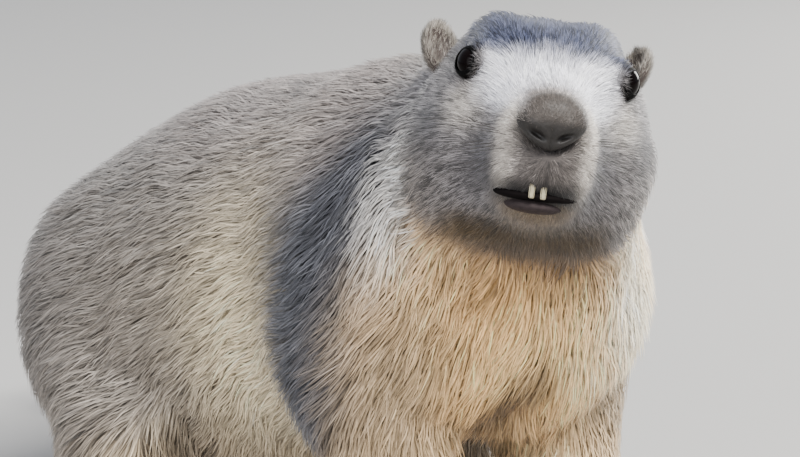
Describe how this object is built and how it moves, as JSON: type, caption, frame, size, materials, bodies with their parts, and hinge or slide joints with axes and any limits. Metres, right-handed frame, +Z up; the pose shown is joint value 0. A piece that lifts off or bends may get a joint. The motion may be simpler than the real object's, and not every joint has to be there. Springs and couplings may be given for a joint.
{
  "type": "marmot figure",
  "caption": "Life-size still alpine marmot standing on four clawed feet, head raised and turned to its right, bushy tail laid on the floor.",
  "frame": {"origin": "middle of the base of the bounding box, on the floor", "axes": "+Z up, +Y from the chest towards the tail, +X to the animal's left"},
  "size_m": [0.2112, 0.5338, 0.2392],
  "materials": {
    "coat": "dense grizzled fur, grey-brown over cream",
    "foot": "short fur over toes, with dark horn claws",
    "nose": "bare damp skin",
    "eye": "wet and glossy",
    "enamel": "smooth ivory enamel"
  },
  "bodies": {
    "root": {"torso": "coat", "neck": "coat", "tail_root": "coat", "tail_middle": "coat", "tail_tip": "coat", "upper_arm_right": "coat", "forearm_right": "coat", "fore_foot_right": "foot", "thigh_right": "coat", "shank_right": "coat", "hind_foot_right": "foot", "upper_arm_left": "coat", "forearm_left": "coat", "fore_foot_left": "foot", "thigh_left": "coat", "shank_left": "coat", "hind_foot_left": "foot", "head": "coat", "nose": "nose", "ear_right": "coat", "eye_right": "eye", "incisor_right": "enamel", "ear_left": "coat", "eye_left": "eye", "incisor_left": "enamel"}
  },
  "joints": []
}
